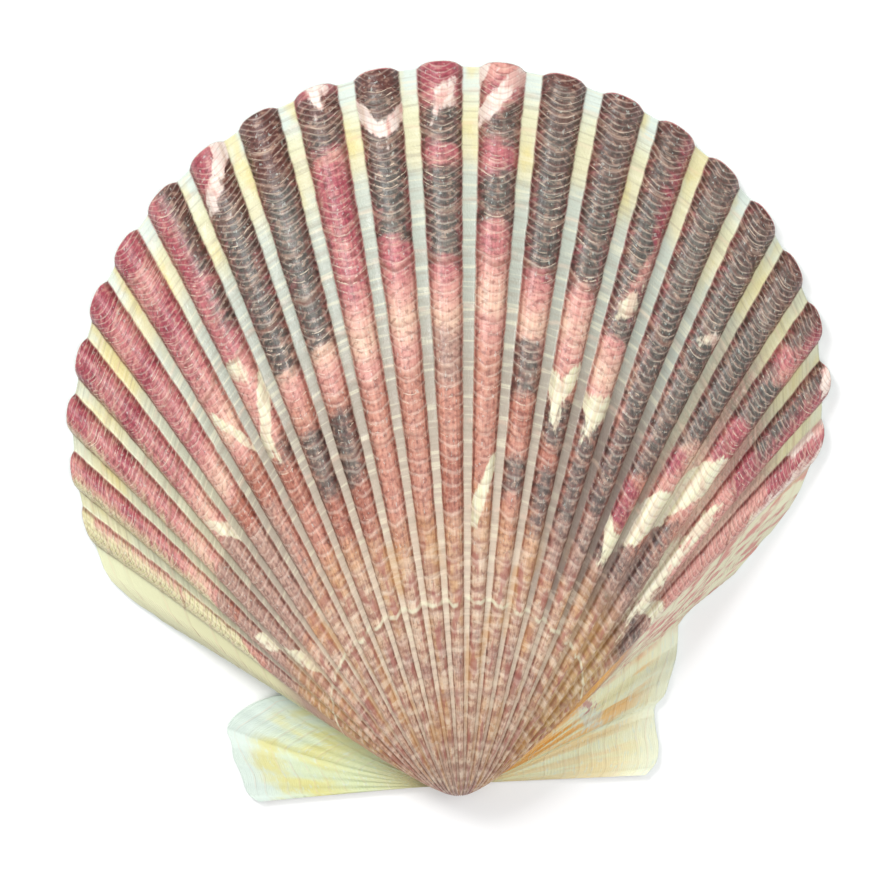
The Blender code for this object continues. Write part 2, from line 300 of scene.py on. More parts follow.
def note(name, kind, values, fill):
    """Keeps one value for every point of the wall, for the rib builder and the colours to read."""
    values = np.vstack([np.atleast_2d(v) for v in values])
    values = np.vstack((values, np.full((len(points) - len(values), values.shape[1]), fill)))
    layer = wall.attributes.new(name, kind, "POINT")
    layer.data.foreach_set("vector" if kind == "FLOAT_VECTOR" else "value", values.astype(np.float32).ravel())


note("rib_place", "FLOAT", [place[:, None] for row in rows], RIBS / 2)
note("growth", "FLOAT", [np.full((lines, 1), row["growth"]) for row in rows], 0.1)
note("rib_share", "FLOAT", [row["share"][:, None] for row in rows], 0.0)
note("rib_way", "FLOAT_VECTOR", [row["way"] for row in rows], 0.0)
note("line_way", "FLOAT_VECTOR", [row["normal"] for row in rows], 0.0)
note("outside", "FLOAT", [np.full((lines, 1), row["side"]) for row in rows], 0.0)

# Fine growth lines stand square across each rib, not along the margin as a whole. So each point keeps
# how much farther the margin is from the beak here than at the crest of the same rib.
SQUARE_ACROSS = 0.85
from_beak = np.hypot(margin[:, 0], margin[:, 1])
slant = SQUARE_ACROSS * (from_beak / np.interp(np.floor(place) + 0.5, place, from_beak) - 1)
note("slant", "FLOAT", [np.where(disc == 1.0, slant, 0.0)[:, None] for row in rows], 0.0)

# Marks in the colour. Each runs from one place to another along the margin, and at both of them has
# an outer and an inner growth stage: (place, place, outer, outer, inner, inner).
MARKS = {
    "straw": ((0.0, 1.46, 1.1, 1.1, 0.50, 0.64), (2.0, 2.30, 1.1, 1.1, 0.60, 0.60),
              (3.0, 3.20, 1.1, 1.1, 0.62, 0.62),
              (0.0, 0.45, 0.40, 0.39, 0.33, 0.34), (19.6, 21.6, 0.38, 0.40, 0.20, 0.20)),
    "mauve": ((0.0, 5.6, 0.50, 0.57, 0.36, 0.42), (1.0, 4.8, 0.62, 0.60, 0.50, 0.48),
              (14.9, 21.9, 0.46, 0.53, 0.38, 0.38), (11.1, 11.9, 0.655, 0.65, 0.585, 0.580),
              (19.5, 20.9, 0.58, 0.55, 0.44, 0.42)),
    "brick": ((1.55, 1.95, 0.59, 0.59, 0.56, 0.56), (4.1, 5.9, 0.61, 0.63, 0.56, 0.56),
              (6.1, 6.9, 0.59, 0.59, 0.51, 0.51), (7.1, 8.9, 0.50, 0.50, 0.44, 0.42),
              (11.1, 11.9, 0.50, 0.50, 0.43, 0.43), (14.1, 14.9, 0.545, 0.545, 0.49, 0.49),
              (13.1, 13.9, 0.57, 0.57, 0.53, 0.53), (16.5, 16.8, 0.64, 0.62, 0.47, 0.45)),
    "smoke": ((6.48, 7.0, 1.1, 1.1, 0.86, 0.84), (6.62, 6.95, 0.84, 0.84, 0.77, 0.77),
              (7.08, 7.95, 0.930, 0.985, 0.670, 0.665), (8.08, 8.95, 1.1, 1.1, 0.665, 0.670),
              (6.6, 7.0, 0.605, 0.615, 0.575, 0.57), (7.1, 8.9, 0.585, 0.590, 0.495, 0.500),
              (9.1, 9.9, 0.985, 0.985, 0.905, 0.910), (10.1, 10.9, 1.1, 1.1, 0.775, 0.765),
              (11.1, 11.95, 0.940, 0.945, 0.890, 0.885), (11.1, 11.9, 0.862, 0.860, 0.740, 0.735),
              (12.20, 12.9, 0.920, 0.960, 0.895, 0.890), (12.1, 12.9, 0.850, 0.855, 0.790, 0.785),
              (13.1, 13.95, 1.1, 1.1, 0.735, 0.735), (13.1, 13.9, 0.650, 0.645, 0.575, 0.580),
              (13.1, 13.9, 0.502, 0.505, 0.455, 0.460), (14.1, 14.9, 1.1, 1.1, 0.725, 0.730),
              (14.1, 14.9, 0.585, 0.590, 0.530, 0.525), (14.1, 14.9, 0.500, 0.505, 0.420, 0.415),
              (15.1, 15.9, 1.1, 1.1, 0.695, 0.700), (15.1, 15.9, 0.595, 0.600, 0.410, 0.405),
              (16.1, 16.95, 1.1, 1.1, 0.430, 0.420), (17.1, 17.95, 1.1, 1.1, 0.560, 0.590),
              (17.1, 17.95, 0.470, 0.450, 0.385, 0.385), (18.0, 18.90, 1.1, 1.1, 0.640, 0.700),
              (18.0, 18.60, 0.500, 0.505, 0.400, 0.400), (19.1, 19.6, 1.1, 1.1, 0.915, 0.930),
              (19.1, 19.9, 0.875, 0.900, 0.770, 0.800), (18.95, 19.5, 0.560, 0.590, 0.460, 0.465),
              (20.15, 20.55, 1.1, 1.1, 0.80, 0.79), (20.2, 21.9, 0.460, 0.500, 0.400, 0.420)),
    "maroon": ((6.70, 7.0, 1.1, 1.1, 0.955, 0.950), (7.50, 7.95, 0.945, 1.1, 0.915, 0.910),
               (8.08, 8.95, 1.1, 1.1, 0.915, 0.900), (9.15, 9.9, 0.985, 0.985, 0.955, 0.950),
               (10.1, 10.9, 1.1, 1.1, 0.965, 0.960), (13.1, 15.6, 1.1, 1.1, 0.980, 0.985),
               (17.1, 20.6, 1.1, 1.1, 0.985, 0.980)),
    "deep_rose": ((1.60, 1.84, 0.96, 0.96, 0.89, 0.89), (1.58, 1.84, 0.87, 0.87, 0.81, 0.81),
                  (2.45, 5.8, 0.99, 1.02, 0.945, 0.945), (2.5, 5.8, 0.875, 0.875, 0.835, 0.835),
                  (5.15, 5.8, 1.1, 1.1, 0.955, 0.955), (6.15, 6.5, 0.97, 0.97, 0.88, 0.86),
                  (7.20, 7.6, 1.1, 1.1, 0.940, 0.970), (9.4, 9.85, 0.87, 0.87, 0.80, 0.76),
                  (11.15, 11.9, 1.1, 1.1, 0.960, 0.960), (12.35, 12.70, 1.1, 1.1, 0.972, 0.975),
                  (15.66, 15.90, 1.1, 1.1, 0.840, 0.800), (17.0, 17.80, 0.560, 0.555, 0.495, 0.500),
                  (18.1, 18.55, 0.64, 0.67, 0.60, 0.62), (19.6, 19.95, 1.1, 1.1, 0.935, 0.950),
                  (19.15, 19.6, 0.765, 0.775, 0.710, 0.695), (20.6, 20.9, 0.96, 0.97, 0.86, 0.84),
                  (20.12, 20.55, 0.795, 0.80, 0.735, 0.72), (21.3, 21.6, 0.95, 0.95, 0.84, 0.83)),
    "blush": ((0.72, 0.88, 0.96, 0.96, 0.73, 0.74), (4.0, 4.35, 0.950, 0.930, 0.915, 0.900),
              (6.2, 6.85, 0.735, 0.720, 0.600, 0.660), (19.4, 20.0, 0.885, 0.950, 0.860, 0.905),
              (15.45, 15.85, 0.770, 0.850, 0.740, 0.790), (12.1, 12.9, 1.1, 1.1, 0.970, 0.985),
              (18.2, 19.0, 0.600, 0.670, 0.560, 0.620), (20.0, 21.0, 0.720, 0.735, 0.540, 0.560),
              (14.35, 14.55, 0.735, 0.735, 0.640, 0.640), (21.0, 22.0, 0.83, 0.84, 0.56, 0.56)),
    "cream": ((1.62, 2.10, 0.515, 0.490, 0.480, 0.450), (2.10, 3.00, 0.460, 0.395, 0.430, 0.350),
              (3.40, 3.90, 0.650, 0.610, 0.635, 0.580), (5.30, 5.85, 0.715, 0.645, 0.695, 0.628),
              (6.20, 6.48, 0.735, 0.730, 0.720, 0.700), (6.12, 6.35, 0.625, 0.635, 0.605, 0.592),
              (6.35, 6.88, 0.635, 0.705, 0.592, 0.665), (7.20, 7.55, 0.935, 0.965, 0.915, 0.930),
              (7.55, 7.88, 0.965, 1.100, 0.930, 0.985), (9.45, 9.55, 1.1, 1.1, 0.980, 0.968),
              (9.55, 9.68, 1.1, 1.1, 0.968, 0.985), (10.08, 10.50, 0.975, 0.915, 0.950, 0.897),
              (10.50, 10.92, 0.915, 0.955, 0.897, 0.935), (11.48, 11.66, 0.962, 0.970, 0.928, 0.938),
              (12.12, 12.45, 0.935, 0.965, 0.915, 0.935), (12.45, 12.88, 0.965, 1.005, 0.935, 0.985),
              (12.12, 12.25, 1.1, 1.1, 0.965, 0.990), (12.10, 12.45, 0.440, 0.470, 0.415, 0.432),
              (12.45, 12.90, 0.470, 0.510, 0.432, 0.490), (14.10, 14.36, 0.620, 0.610, 0.605, 0.565),
              (14.36, 14.82, 0.610, 0.640, 0.565, 0.620), (15.14, 15.48, 0.612, 0.610, 0.600, 0.568),
              (15.48, 15.88, 0.610, 0.625, 0.568, 0.605), (15.42, 15.66, 0.742, 0.765, 0.724, 0.732),
              (17.05, 17.50, 0.505, 0.480, 0.490, 0.442), (17.50, 17.92, 0.480, 0.500, 0.442, 0.475),
              (17.95, 18.40, 0.545, 0.590, 0.485, 0.505), (18.40, 19.05, 0.590, 0.610, 0.505, 0.565),
              (18.90, 19.25, 0.640, 0.690, 0.560, 0.600), (19.25, 19.70, 0.690, 0.730, 0.600, 0.660),
              (20.05, 20.30, 0.600, 0.590, 0.520, 0.455), (20.30, 20.42, 0.680, 0.700, 0.455, 0.470),
              (20.42, 21.30, 0.490, 0.545, 0.470, 0.515), (20.35, 20.60, 1.1, 1.1, 0.975, 0.980),
              (21.30, 22.00, 0.545, 0.560, 0.515, 0.530), (21.05, 21.25, 1.1, 1.1, 0.90, 0.91),
              (21.65, 21.95, 1.1, 1.1, 0.80, 0.80), (17.48, 17.72, 0.788, 0.808, 0.778, 0.796)),
}
RIB_WIDTH = 3.8
BEAK_TO_MARGIN = 62.0
FAR_OUTSIDE = -9.0
COLOUR_DELAY = 0.012


def marked(marks):
    """How deep inside these marks each point of the outside is, in millimetres; negative outside them."""
    stages = np.linspace(FIRST_STAGE, BEAK_STAGE, OUTSIDE_STAGES)[:, None]
    deepest = np.full((OUTSIDE_STAGES, lines), FAR_OUTSIDE)
    for left, right, outer_left, outer_right, inner_left, inner_right in marks:
        share = (place - left) / (right - left)
        sideways = np.minimum(place - left, right - place) * RIB_WIDTH * stages
        outer = outer_left + (outer_right - outer_left) * share
        inner = inner_left + (inner_right - inner_left) * share
        lengthways = np.minimum(outer - stages, stages - inner) * BEAK_TO_MARGIN
        deepest = np.maximum(deepest, np.minimum(sideways, lengthways))
    return deepest


for name, marks in MARKS.items():
    depth = marked(marks)
    note(name, "FLOAT", [depth[min(r, OUTSIDE_STAGES - 1)][:, None] for r in range(len(rows))], FAR_OUTSIDE)
chance = np.random.default_rng(12)
delay = np.interp(np.floor(place), range(RIBS), chance.normal(0.0, COLOUR_DELAY, RIBS))
note("rib_delay", "FLOAT", [delay[:, None] for row in rows], 0.0)


def feed(node, inputs):
    """Puts values or other nodes' outputs into a node of the tree that is being made."""
    for socket, value in dict(inputs).items():
        if isinstance(value, bpy.types.NodeSocket):
            tree.links.new(value, node.inputs[socket])
        else:
            node.inputs[socket].default_value = value


def add(kind, inputs=(), **settings):
    """A new node in the tree that is being made."""
    made = tree.nodes.new(kind)
    for name, value in settings.items():
        setattr(made, name, value)
    feed(made, inputs)
    return made


def calc(operation, *values):
    return add("ShaderNodeMath", enumerate(values), operation=operation).outputs[0]


def plus(first, second):
    return calc("ADD", first, second)


def times(*values):
    result = values[0]
    for value in values[1:]:
        result = calc("MULTIPLY", result, value)
    return result


def stretched(value, slope, start):
    """The start, with so many times the value on top."""
    return calc("MULTIPLY_ADD", value, slope, start)


def apart(first, second):
    """How far two values are from each other."""
    return calc("ABSOLUTE", calc("SUBTRACT", first, second))


def pair(across, up):
    """Two values as a place on a map."""
    return add("ShaderNodeCombineXYZ", {0: across, 1: up}).outputs[0]


def noted(name, kind="FLOAT"):
    """What the wall keeps under this name, in a tree that builds shapes."""
    return add("GeometryNodeInputNamedAttribute", {"Name": name}, data_type=kind).outputs["Attribute"]


def scaled(vector, amount):
    return add("ShaderNodeVectorMath", {0: vector, "Scale": amount}, operation="SCALE").outputs[0]


def summed(first, second):
    return add("ShaderNodeVectorMath", {0: first, 1: second}, operation="ADD").outputs[0]


def shape_tree(name, sizes):
    """A tree that builds shapes, with a named input for each size."""
    made = bpy.data.node_groups.new(name, "GeometryNodeTree")
    made.interface.new_socket("Geometry", in_out="INPUT", socket_type="NodeSocketGeometry")
    made.interface.new_socket("Geometry", in_out="OUTPUT", socket_type="NodeSocketGeometry")
    for size in sizes:
        made.interface.new_socket(size, in_out="INPUT", socket_type="NodeSocketFloat")
    return made, made.nodes.new("NodeGroupInput").outputs


def placed(name, data):
    """A new object in the scene."""
    made = bpy.data.objects.new(name, data)
    bpy.context.scene.collection.objects.link(made)
    return made


def grown(name, start, shape, sizes):
    """Ends the tree, and gives the piece that it makes of a starting mesh, as a plain mesh."""
    real = add("GeometryNodeRealizeInstances", {"Geometry": shape.outputs[0]})
    coated = add("GeometryNodeSetMaterial", {"Geometry": real.outputs[0], "Material": shell})
    feed(tree.nodes.new("NodeGroupOutput"), {0: coated.outputs[0]})
    bare = placed("not_grown_yet", start)
    builder = bare.modifiers.new(tree.name, "NODES")
    builder.node_group = tree
    for item in tree.interface.items_tree:
        if item.item_type == "SOCKET" and item.in_out == "INPUT" and item.name in sizes:
            builder[item.identifier] = sizes[item.name]
    bpy.context.view_layer.update()
    mesh = bpy.data.meshes.new_from_object(bare.evaluated_get(bpy.context.evaluated_depsgraph_get()))
    bare.modifiers.remove(builder)
    bpy.data.objects.remove(bare)
    mesh.name = name
    return placed(name, mesh)


# The ribs, raised on the wall: steep sides, a rounded top and a flat furrow between
RIB_SECTION = ((0.0, 0.0), (0.11, 0.0), (0.155, 0.10), (0.20, 0.42), (0.26, 0.72), (0.34, 0.91), (0.5, 1.0),
               (0.66, 0.91), (0.74, 0.72), (0.80, 0.42), (0.845, 0.10), (0.89, 0.0), (1.0, 0.0))
CHECKS = (0.94, 0.895, 0.796, 0.735, 0.665, 0.604, 0.53, 0.43, 0.325, 0.22)
WHITE_CHECK = 0.325
BROWN_CHECK = 0.735
LINES_TO_MARGIN = 64.0
LINE_CROWDING = 1.8
LINE_BOW = 0.19
BOW_GROWTH = 1.5
BOW_REACH = 0.38
SIDE_REACH = 0.3
RIBLET_WAVES = 22.0
EDGE_LINES = 42.0
SHARP_ABOVE = 50.0
rib_sizes = {"Rib height": RIB_HEIGHT * MM, "Rib taper": RIB_TAPER, "Check height": 0.10 * MM,
             "Check width": 0.0042, "Line bow": LINE_BOW, "Side riblet height": 0.07 * MM,
             "Ear line height": 0.035 * MM}
tree, size = shape_tree("ribs_on_wall", rib_sizes)
rib_place = noted("rib_place")
growth = noted("growth")
phase = calc("FRACT", rib_place)
section = add("ShaderNodeFloatCurve", {"Value": phase})
curve = section.mapping.curves[0]
for x, y in RIB_SECTION[1:-1]:
    curve.points.new(x, y)
for point, (x, y) in zip(curve.points, RIB_SECTION):
    point.location = (x, y)
    point.handle_type = "AUTO_CLAMPED"
section.mapping.update()
tall = times(size["Rib height"], calc("POWER", growth, size["Rib taper"]), noted("rib_share"))
rib = scaled(noted("rib_way", "FLOAT_VECTOR"), times(tall, section.outputs[0]))

# A slight step where growth stopped and started again, bowed toward the beak on each rib
off_crest = calc("MINIMUM", apart(phase, 0.5), BOW_REACH)
bow = times(off_crest, off_crest, size["Line bow"])
age = calc("SUBTRACT", growth, times(bow, calc("POWER", growth, BOW_GROWTH)))
steps = 0.0
for check in CHECKS:
    away = calc("DIVIDE", calc("SUBTRACT", age, check), size["Check width"])
    steps = plus(steps, calc("POWER", math.e, times(away, away, -1.0)))
at_side = calc("MINIMUM", noted("rib_share"), 1.0)
steps = times(steps, times(size["Check height"], stretched(at_side, 0.7, 0.3)))

# Fine riblets on the ears and steep sides, and lines along their edge
beside = calc("MAXIMUM", calc("SUBTRACT", SIDE_REACH, rib_place),
              calc("SUBTRACT", rib_place, RIBS - SIDE_REACH))
beside = calc("MINIMUM", calc("MAXIMUM", beside, 0.0), 1.0)
riblets = calc("SINE", times(rib_place, RIBLET_WAVES))
riblets = times(riblets, times(beside, size["Side riblet height"]))
edge_lines = add("ShaderNodeTexNoise", {"W": times(growth, EDGE_LINES), "Detail": 2.0},
                 noise_dimensions="1D").outputs[0]
edge_lines = times(calc("SUBTRACT", edge_lines, 0.5), size["Ear line height"], plus(1.0, beside))
relief = plus(steps, plus(riblets, edge_lines))
moved = summed(rib, scaled(noted("line_way", "FLOAT_VECTOR"), relief))
raised = add("GeometryNodeSetPosition", {"Geometry": size["Geometry"], "Offset": moved})
shell = bpy.data.materials.new("scallop_shell")
valve = grown("shell_valve", wall, raised, rib_sizes)
valve.data.shade_smooth()
valve.data.set_sharp_from_angle(angle=math.radians(SHARP_ABOVE))


# The colours of the shell
# Pigment is laid down at the margin as it grows, so every rib runs through the same order of
# colours, and the marks on top of that follow the ribs and the growth lines.


def pigment(red, green, blue):
    """A colour as the eye reads it, 0 to 255, for a shader."""
    shares = (red / 255, green / 255, blue / 255)
    return tuple(((share + 0.055) / 1.055) ** 2.4 for share in shares) + (1.0,)


ROSE = pigment(176, 98, 104)
DEEP_ROSE = pigment(156, 66, 80)
SMOKE = pigment(86, 72, 66)
MAROON = pigment(84, 44, 36)
BLUSH = pigment(206, 146, 136)
PEACH = pigment(224, 188, 164)
CREAM = pigment(224, 222, 192)
SALMON = pigment(188, 130, 112)
BRICK = pigment(164, 102, 84)
AMBER = pigment(196, 148, 112)
TAN = pigment(198, 166, 140)
OCHRE = pigment(184, 144, 86)
RUST = pigment(176, 112, 52)
SLATE = pigment(82, 80, 74)
MAUVE = pigment(168, 134, 120)
STRAW = pigment(212, 208, 164)
ORANGE = pigment(226, 168, 84)
BROWN = pigment(132, 84, 66)
FROST = pigment(208, 222, 212)
PALE_LINE = pigment(226, 208, 184)
RIB_EDGE = 0.325
CHECK_BAND = 0.0045
BUMP_DEPTH = 0.12

shell.use_nodes = True
tree = shell.node_tree


def kept(name):
    """What the wall keeps under this name, in a tree that paints."""
    return add("ShaderNodeAttribute", attribute_name=name).outputs["Fac"]


def ramp(factor, stops):
    made = add("ShaderNodeValToRGB", {0: factor})
    while len(made.color_ramp.elements) < len(stops):
        made.color_ramp.elements.new(0.5)
    for element, (position, colour) in zip(made.color_ramp.elements, stops):
        element.position = position
        element.color = colour
    return made.outputs[0]


def mix(factor, first, second, blend="MIX"):
    made = add("ShaderNodeMix", {0: factor, 6: first, 7: second}, data_type="RGBA", blend_type=blend)
    return made.outputs[2]


def fade(value, start, stop):
    """0 at start, 1 at stop, smooth between."""
    made = add("ShaderNodeMapRange", {0: value, 1: start, 2: stop}, interpolation_type="SMOOTHSTEP")
    return made.outputs[0]


place_here = kept("rib_place")
growth_here = kept("growth")


def grain(across, down, detail=2.0, shift=0.0):
    """Noise about zero, with so many waves for each rib and so many from beak to margin."""
    spot = pair(stretched(place_here, across, 3.0 * shift), times(growth_here, down))
    noise = add("ShaderNodeTexNoise", {"Vector": spot, "Scale": 1.0, "Detail": detail}, noise_dimensions="2D")
    return calc("SUBTRACT", noise.outputs[0], 0.5)


from_crest = apart(calc("FRACT", place_here), 0.5)
bow_here = calc("MINIMUM", from_crest, BOW_REACH)
bow_here = times(bow_here, bow_here, calc("POWER", growth_here, BOW_GROWTH), LINE_BOW)
age_here = calc("SUBTRACT", growth_here, bow_here)
ragged = grain(4.0, 40.0, 3.0)
banding = grain(0.45, 34.0, 3.0, 18.0)

# The order of colours on each rib, from the beak to the margin
AGE_COLOURS = ((0.0, BROWN), (0.045, MAUVE), (0.09, TAN), (0.235, TAN), (0.265, MAUVE), (0.285, TAN),
               (0.36, TAN), (0.41, AMBER), (0.455, SALMON), (0.59, SALMON), (0.63, BLUSH), (0.66, PEACH),
               (0.70, BLUSH), (0.735, ROSE), (1.0, ROSE))
stage_here = plus(age_here, times(ragged, 0.035))
colour = ramp(plus(stage_here, kept("rib_delay")), AGE_COLOURS)
colour = mix(times(fade(banding, 0.0, 0.20), fade(growth_here, 0.70, 0.76), 0.55), colour, BLUSH)
colour = mix(times(fade(place_here, 7.0, 2.0), fade(growth_here, 0.98, 0.84), 0.30), colour, BLUSH)

# Marks over it; the cream ones have clean edges, the others are broken along the growth lines
SMOKE_COLOURS = ((0.40, MAUVE), (0.48, pigment(94, 80, 74)), (0.60, pigment(88, 78, 72)), (0.75, SLATE),
                 (0.86, SLATE), (0.92, SMOKE), (1.0, pigment(82, 68, 60)))
smoke = ramp(plus(growth_here, times(banding, 0.30)), SMOKE_COLOURS)
# Smoke ribs get a painted highlight along each crest, broken into pale blotches
blotched_crest_highlight = times(fade(grain(1.3, 14.0, 3.0, 23.0), -0.02, 0.18), fade(from_crest, 0.30, 0.08))
smoke = mix(times(blotched_crest_highlight, 0.40), smoke, pigment(132, 128, 118))
smoke = mix(times(fade(grain(14.0, 4.0, 2.0, 23.0), 0.02, 0.20), 0.30), smoke, pigment(104, 58, 50))
# Darker maroon toward both sides of each rib: brown pigment together with painted shade on the slopes
smoke = mix(times(fade(plus(from_crest, times(ragged, 0.10)), 0.20, 0.34), 0.65), smoke, MAROON)
broken_edge = plus(grain(5.0, 12.0, 2.0, 3.0), times(grain(1.5, 110.0, 3.0, 6.0), 1.9))
for name, shade in (("straw", STRAW), ("mauve", MAUVE), ("brick", BRICK), ("smoke", smoke),
                    ("maroon", MAROON), ("deep_rose", DEEP_ROSE), ("blush", BLUSH)):
    colour = mix(fade(plus(kept(name), broken_edge), -0.7, 0.7), colour, shade)
clean_edge = plus(kept("cream"), times(grain(5.0, 22.0, 2.0, 3.0), 0.9))
clean_edge = plus(clean_edge, times(grain(9.0, 75.0, 3.0, 17.0), 0.8))
cream_here = fade(clean_edge, -0.42, 0.02)
cream = mix(fade(growth_here, 0.74, 0.86), CREAM, pigment(232, 216, 206))
blushed = times(fade(grain(3.5, 26.0, 3.0, 88.0), -0.04, 0.16), stretched(growth_here, 1.2, -0.45))
cream = mix(blushed, cream, BLUSH)
colour = mix(cream_here, colour, cream)

# Fine streaks down each rib, painted glints as pale specks, and along both its sides brown lines with painted
# shade
STREAK_SHADES = ((0.30, (0.24, 0.21, 0.20, 1)), (0.70, (0.78, 0.76, 0.74, 1)))
streak = ramp(plus(grain(16.0, 3.0, 2.0, 7.0), 0.5), STREAK_SHADES)
colour = mix(0.36, colour, streak, "OVERLAY")
off_cream = stretched(cream_here, -0.8, 1.0)
fleck = times(grain(7.0, 150.0, 3.0, 36.0), off_cream)
colour = mix(times(fade(fleck, 0.0, -0.20), 0.5), colour, pigment(128, 92, 84), "MULTIPLY")
colour = mix(times(fade(fleck, 0.02, 0.22), 0.30), colour, PEACH)
# Painted glints: small near-white specks scattered over the ribs
painted_glints = fade(grain(13.0, 120.0, 2.0, 11.0), 0.16, 0.25)
colour = mix(times(painted_glints, 0.35), colour, FROST)
# Both sides of each rib darkened: brown pigment together with painted shade on the steep slopes
brown_and_shade_at_rib_sides = times(fade(apart(plus(from_crest, times(ragged, 0.06)), RIB_EDGE), 0.06, 0.0), off_cream)
colour = mix(times(brown_and_shade_at_rib_sides, 0.75), colour, pigment(146, 88, 76), "MULTIPLY")

# Furrows: smooth and pale, straw toward the left, brown low on the right
FURROW_COLOURS = ((0.0, BROWN), (0.08, MAUVE), (0.20, pigment(218, 200, 178)),
                  (0.40, pigment(194, 176, 156)), (0.60, pigment(160, 152, 138)),
                  (0.72, pigment(164, 170, 158)), (0.85, pigment(184, 192, 178)),
                  (0.88, pigment(208, 204, 168)), (0.94, pigment(212, 212, 176)),
                  (0.975, pigment(204, 216, 206)))
furrow = ramp(plus(growth_here, times(ragged, 0.03)), FURROW_COLOURS)
furrow = mix(times(fade(place_here, 6.5, 2.0), fade(growth_here, 0.5, 0.66), 0.5), furrow, STRAW)
straw_side = times(fade(grain(1.6, 9.0, 3.0, 52.0), -0.04, 0.16), fade(growth_here, 0.80, 0.90), 0.7)
furrow = mix(straw_side, furrow, pigment(216, 202, 132))
furrow = mix(times(fade(place_here, 17.4, 18.4), fade(growth_here, 0.48, 0.56), 0.6), furrow, STRAW)
across = grain(0.5, 150.0, 3.0, 58.0)
furrow = mix(times(fade(across, 0.02, 0.20), 0.45), furrow, pigment(224, 220, 190))
furrow = mix(times(fade(across, -0.02, -0.20), 0.35), furrow, pigment(150, 140, 122))
low_right = times(fade(place_here, 13.5, 16.5), fade(growth_here, 0.70, 0.54), fade(growth_here, 0.30, 0.38))
furrow = mix(times(low_right, 0.85), furrow, pigment(106, 86, 76))
in_furrow = fade(plus(from_crest, times(ragged, 0.05)), 0.340, 0.385)
in_furrow = times(in_furrow, stretched(fade(growth_here, 0.10, 0.36), 0.5, 0.5))
merging = times(fade(place_here, 17.6, 18.6), fade(growth_here, 0.90, 0.80))
in_furrow = times(in_furrow, stretched(merging, -0.65, 1.0))
colour = mix(in_furrow, colour, furrow)

# Near the beak the shell is tan, banded with brown and cream, and ochre at both ends
old = fade(plus(growth_here, times(ragged, 0.05)), 0.46, 0.36)
on_crest = fade(from_crest, 0.36, 0.26)
bands = grain(0.9, 95.0, 3.0, 27.0)
ochre_here = calc("MAXIMUM", fade(place_here, 4.0, 0.5), fade(place_here, 16.0, 20.0))
colour = mix(times(ochre_here, old, 0.8), colour, OCHRE)
ochre_spots = fade(grain(1.1, 9.0, 2.0, 33.0), 0.02, 0.18)
colour = mix(times(ochre_spots, old, 0.55), colour, pigment(196, 146, 88))
colour = mix(times(fade(bands, 0.0, 0.16), old, 0.45), colour, PALE_LINE)
colour = mix(times(fade(bands, 0.0, -0.16), old, on_crest, 0.50), colour, pigment(140, 84, 72))
chevron = fade(grain(2.4, 26.0, 3.0, 61.0), 0.02, 0.16)
colour = mix(times(chevron, old, on_crest, 0.70), colour, pigment(156, 88, 78))

# The steep sides beside the outer ribs, straw on the left, cream with pink streaks on the right
SIDE_COLOURS = ((0.0, BROWN), (0.30, AMBER), (0.42, MAUVE), (0.52, STRAW), (1.0, pigment(220, 222, 184)))
colour = mix(fade(place_here, 0.30, 0.0), colour, ramp(growth_here, SIDE_COLOURS))
streaked = mix(fade(grain(6.0, 14.0, 3.0, 5.0), -0.05, 0.12), CREAM, BLUSH)
RIGHT_SIDE_COLOURS = ((0.0, BROWN), (0.16, OCHRE), (0.30, RUST), (0.42, ORANGE), (0.50, MAUVE))
right_side = mix(fade(growth_here, 0.46, 0.54), ramp(growth_here, RIGHT_SIDE_COLOURS), streaked)
colour = mix(fade(place_here, RIBS - 0.25, RIBS), colour, right_side)

# Both ears: frosty, clouded with straw along the outer part on the left and orange on the right,
# with one white patch and a red spot beside the notch on the right
EAR_COLOURS = ((0.0, BROWN), (0.22, STRAW), (0.45, pigment(204, 214, 170)), (0.70, pigment(206, 218, 182)),
               (0.93, FROST))
ear = ramp(growth_here, EAR_COLOURS)
on_right = fade(place_here, RIBS, RIGHT_NOTCH_PLACE)
cloud = grain(1.7, 4.5, 3.0, 9.0)
straw_here = times(fade(cloud, -0.12, 0.10), fade(growth_here, 0.97, 0.86), fade(growth_here, 0.40, 0.70))
ear = mix(times(straw_here, 0.70), ear, pigment(214, 204, 112))
# Painted light: the right ear is lightened to offset the shade it gets from its tilt
ear = mix(times(on_right, 0.7), ear, pigment(234, 234, 198))
rays = grain(5.0, 2.2, 3.0, 14.0)
beside_disc = fade(place_here, RIGHT_EAR_PLACE - 0.6, RIGHT_NOTCH_PLACE + 0.2)
orange_here = times(on_right, fade(rays, -0.12, 0.06), fade(growth_here, 0.95, 0.75),
                    stretched(beside_disc, 0.72, 0.28))
ear = mix(times(orange_here, 0.90), ear, pigment(230, 166, 66))
ear = mix(times(fade(grain(6.0, 60.0, 3.0, 71.0), 0.05, 0.25), 0.5), ear, FROST)
from_above = add("ShaderNodeTexCoord").outputs["Object"]
from_above = add("ShaderNodeVectorMath", {0: from_above, 1: (1, 1, 0)}, operation="MULTIPLY").outputs[0]
spot_edge = grain(7.0, 34.0, 3.0, 52.0)
for x, y, radius, shade in ((11.7, 5.0, 1.5, FROST), (11.6, 6.1, 0.55, ROSE)):
    spot_place = (BEAK_PLACE + Vector((x, y, 0.0))) * MM
    gap = add("ShaderNodeVectorMath", {0: from_above, 1: spot_place}, operation="DISTANCE").outputs["Value"]
    gap = plus(gap, times(spot_edge, 3.0 * MM))
    ear = mix(times(fade(gap, radius * MM, 0.2 * radius * MM), on_right, 0.70), ear, shade)
on_ear = calc("MAXIMUM", fade(place_here, LEFT_NOTCH_PLACE + 0.05, LEFT_NOTCH_PLACE - 0.05),
              fade(place_here, RIGHT_NOTCH_PLACE - 0.05, RIGHT_NOTCH_PLACE + 0.05))
colour = mix(on_ear, colour, ear)

